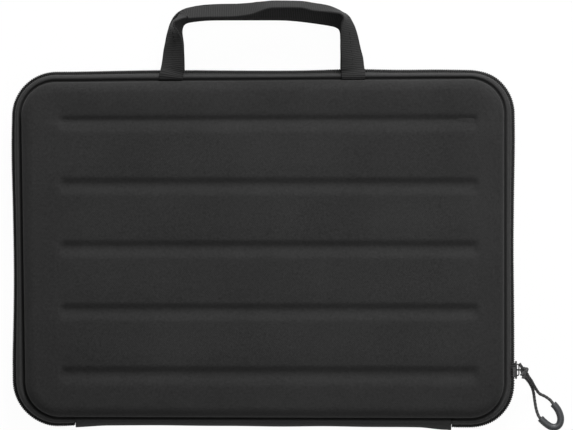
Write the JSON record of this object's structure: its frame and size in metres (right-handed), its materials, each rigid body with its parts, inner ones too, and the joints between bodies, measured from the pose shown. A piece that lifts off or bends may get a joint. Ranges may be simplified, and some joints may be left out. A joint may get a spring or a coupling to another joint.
{
  "type": "laptop case",
  "caption": "Slim moulded laptop case: two grooved foam shells joined by a cloth spine and a zip, with webbing handles and a cord pull.",
  "frame": {"origin": "middle of the rear shell's flat face, on the surface that the case lies on", "axes": "+X along the hinged edge, +Y from the hinged edge towards the handles, +Z out of the front shell"},
  "size_m": [0.386, 0.2991, 0.034],
  "materials": {
    "shell_cloth": "fine twill knit laminated to moulded foam, matt",
    "lining_cloth": "soft brushed lining",
    "tape_cloth": "woven zip tape and spine cloth",
    "binding_cloth": "ribbed binding tape",
    "teeth_plastic": "dyed coil teeth",
    "webbing": "cross-ribbed webbing",
    "elastic": "knitted elastic",
    "slider_paint": "black lacquered die-cast",
    "bail_metal": "plain bright wire",
    "cord": "round braided cord",
    "grip_rubber": "moulded, satin"
  },
  "bodies": {
    "rear_half": {"rear_shell": "shell_cloth", "rear_lining": "lining_cloth", "rear_binding": "binding_cloth", "rear_zip_tape": "tape_cloth", "rear_zip_teeth": "teeth_plastic", "rear_hinge_strip": "tape_cloth", "strap_upper_left": "elastic", "strap_upper_right": "elastic", "strap_lower_left": "elastic", "strap_lower_right": "elastic"},
    "spine": {"spine_panel": "tape_cloth", "spine_lining": "lining_cloth"},
    "front_half": {"front_shell": "shell_cloth", "front_lining": "lining_cloth", "front_binding": "binding_cloth", "front_zip_tape": "tape_cloth", "front_zip_teeth": "teeth_plastic", "front_hinge_strip": "tape_cloth"},
    "front_carry": {"front_handle": "webbing"},
    "rear_carry": {"rear_handle": "webbing"},
    "slider": {"zip_slider": "slider_paint"},
    "pull": {"pull_bail": "bail_metal", "pull_cord": "cord", "pull_knot": "cord", "pull_grip": "grip_rubber"}
  },
  "joints": [
    {"name": "spine_fold", "type": "hinge", "parent": "rear_half", "child": "spine", "pos_m": [0, -0.1235, 0.01], "axis": [1, 0, 0], "range_deg": [0, 90]},
    {"name": "lid_fold", "type": "hinge", "parent": "spine", "child": "front_half", "pos_m": [0, -0.1235, 0.024], "axis": [1, 0, 0], "range_deg": [0, 90]},
    {"name": "front_handle_swing", "type": "hinge", "parent": "front_half", "child": "front_carry", "pos_m": [0, 0.1195, 0.0252], "axis": [1, 0, 0], "range_deg": [0, 100]},
    {"name": "rear_handle_swing", "type": "hinge", "parent": "rear_half", "child": "rear_carry", "pos_m": [0, 0.1195, 0.0088], "axis": [1, 0, 0], "range_deg": [-95, 5]},
    {"name": "slider_run", "type": "slide", "parent": "rear_half", "child": "slider", "axis": [0, 1, 0], "range_m": [0, 0.1705]},
    {"name": "pull_swing", "type": "hinge", "parent": "slider", "child": "pull", "pos_m": [0.17725, -0.0855, 0.017], "axis": [0, 0, 1], "range_deg": [-25, 45]}
  ],
  "couplings": [
    {"joint": "spine_fold", "follows": "lid_fold", "ratio": 1}
  ]
}
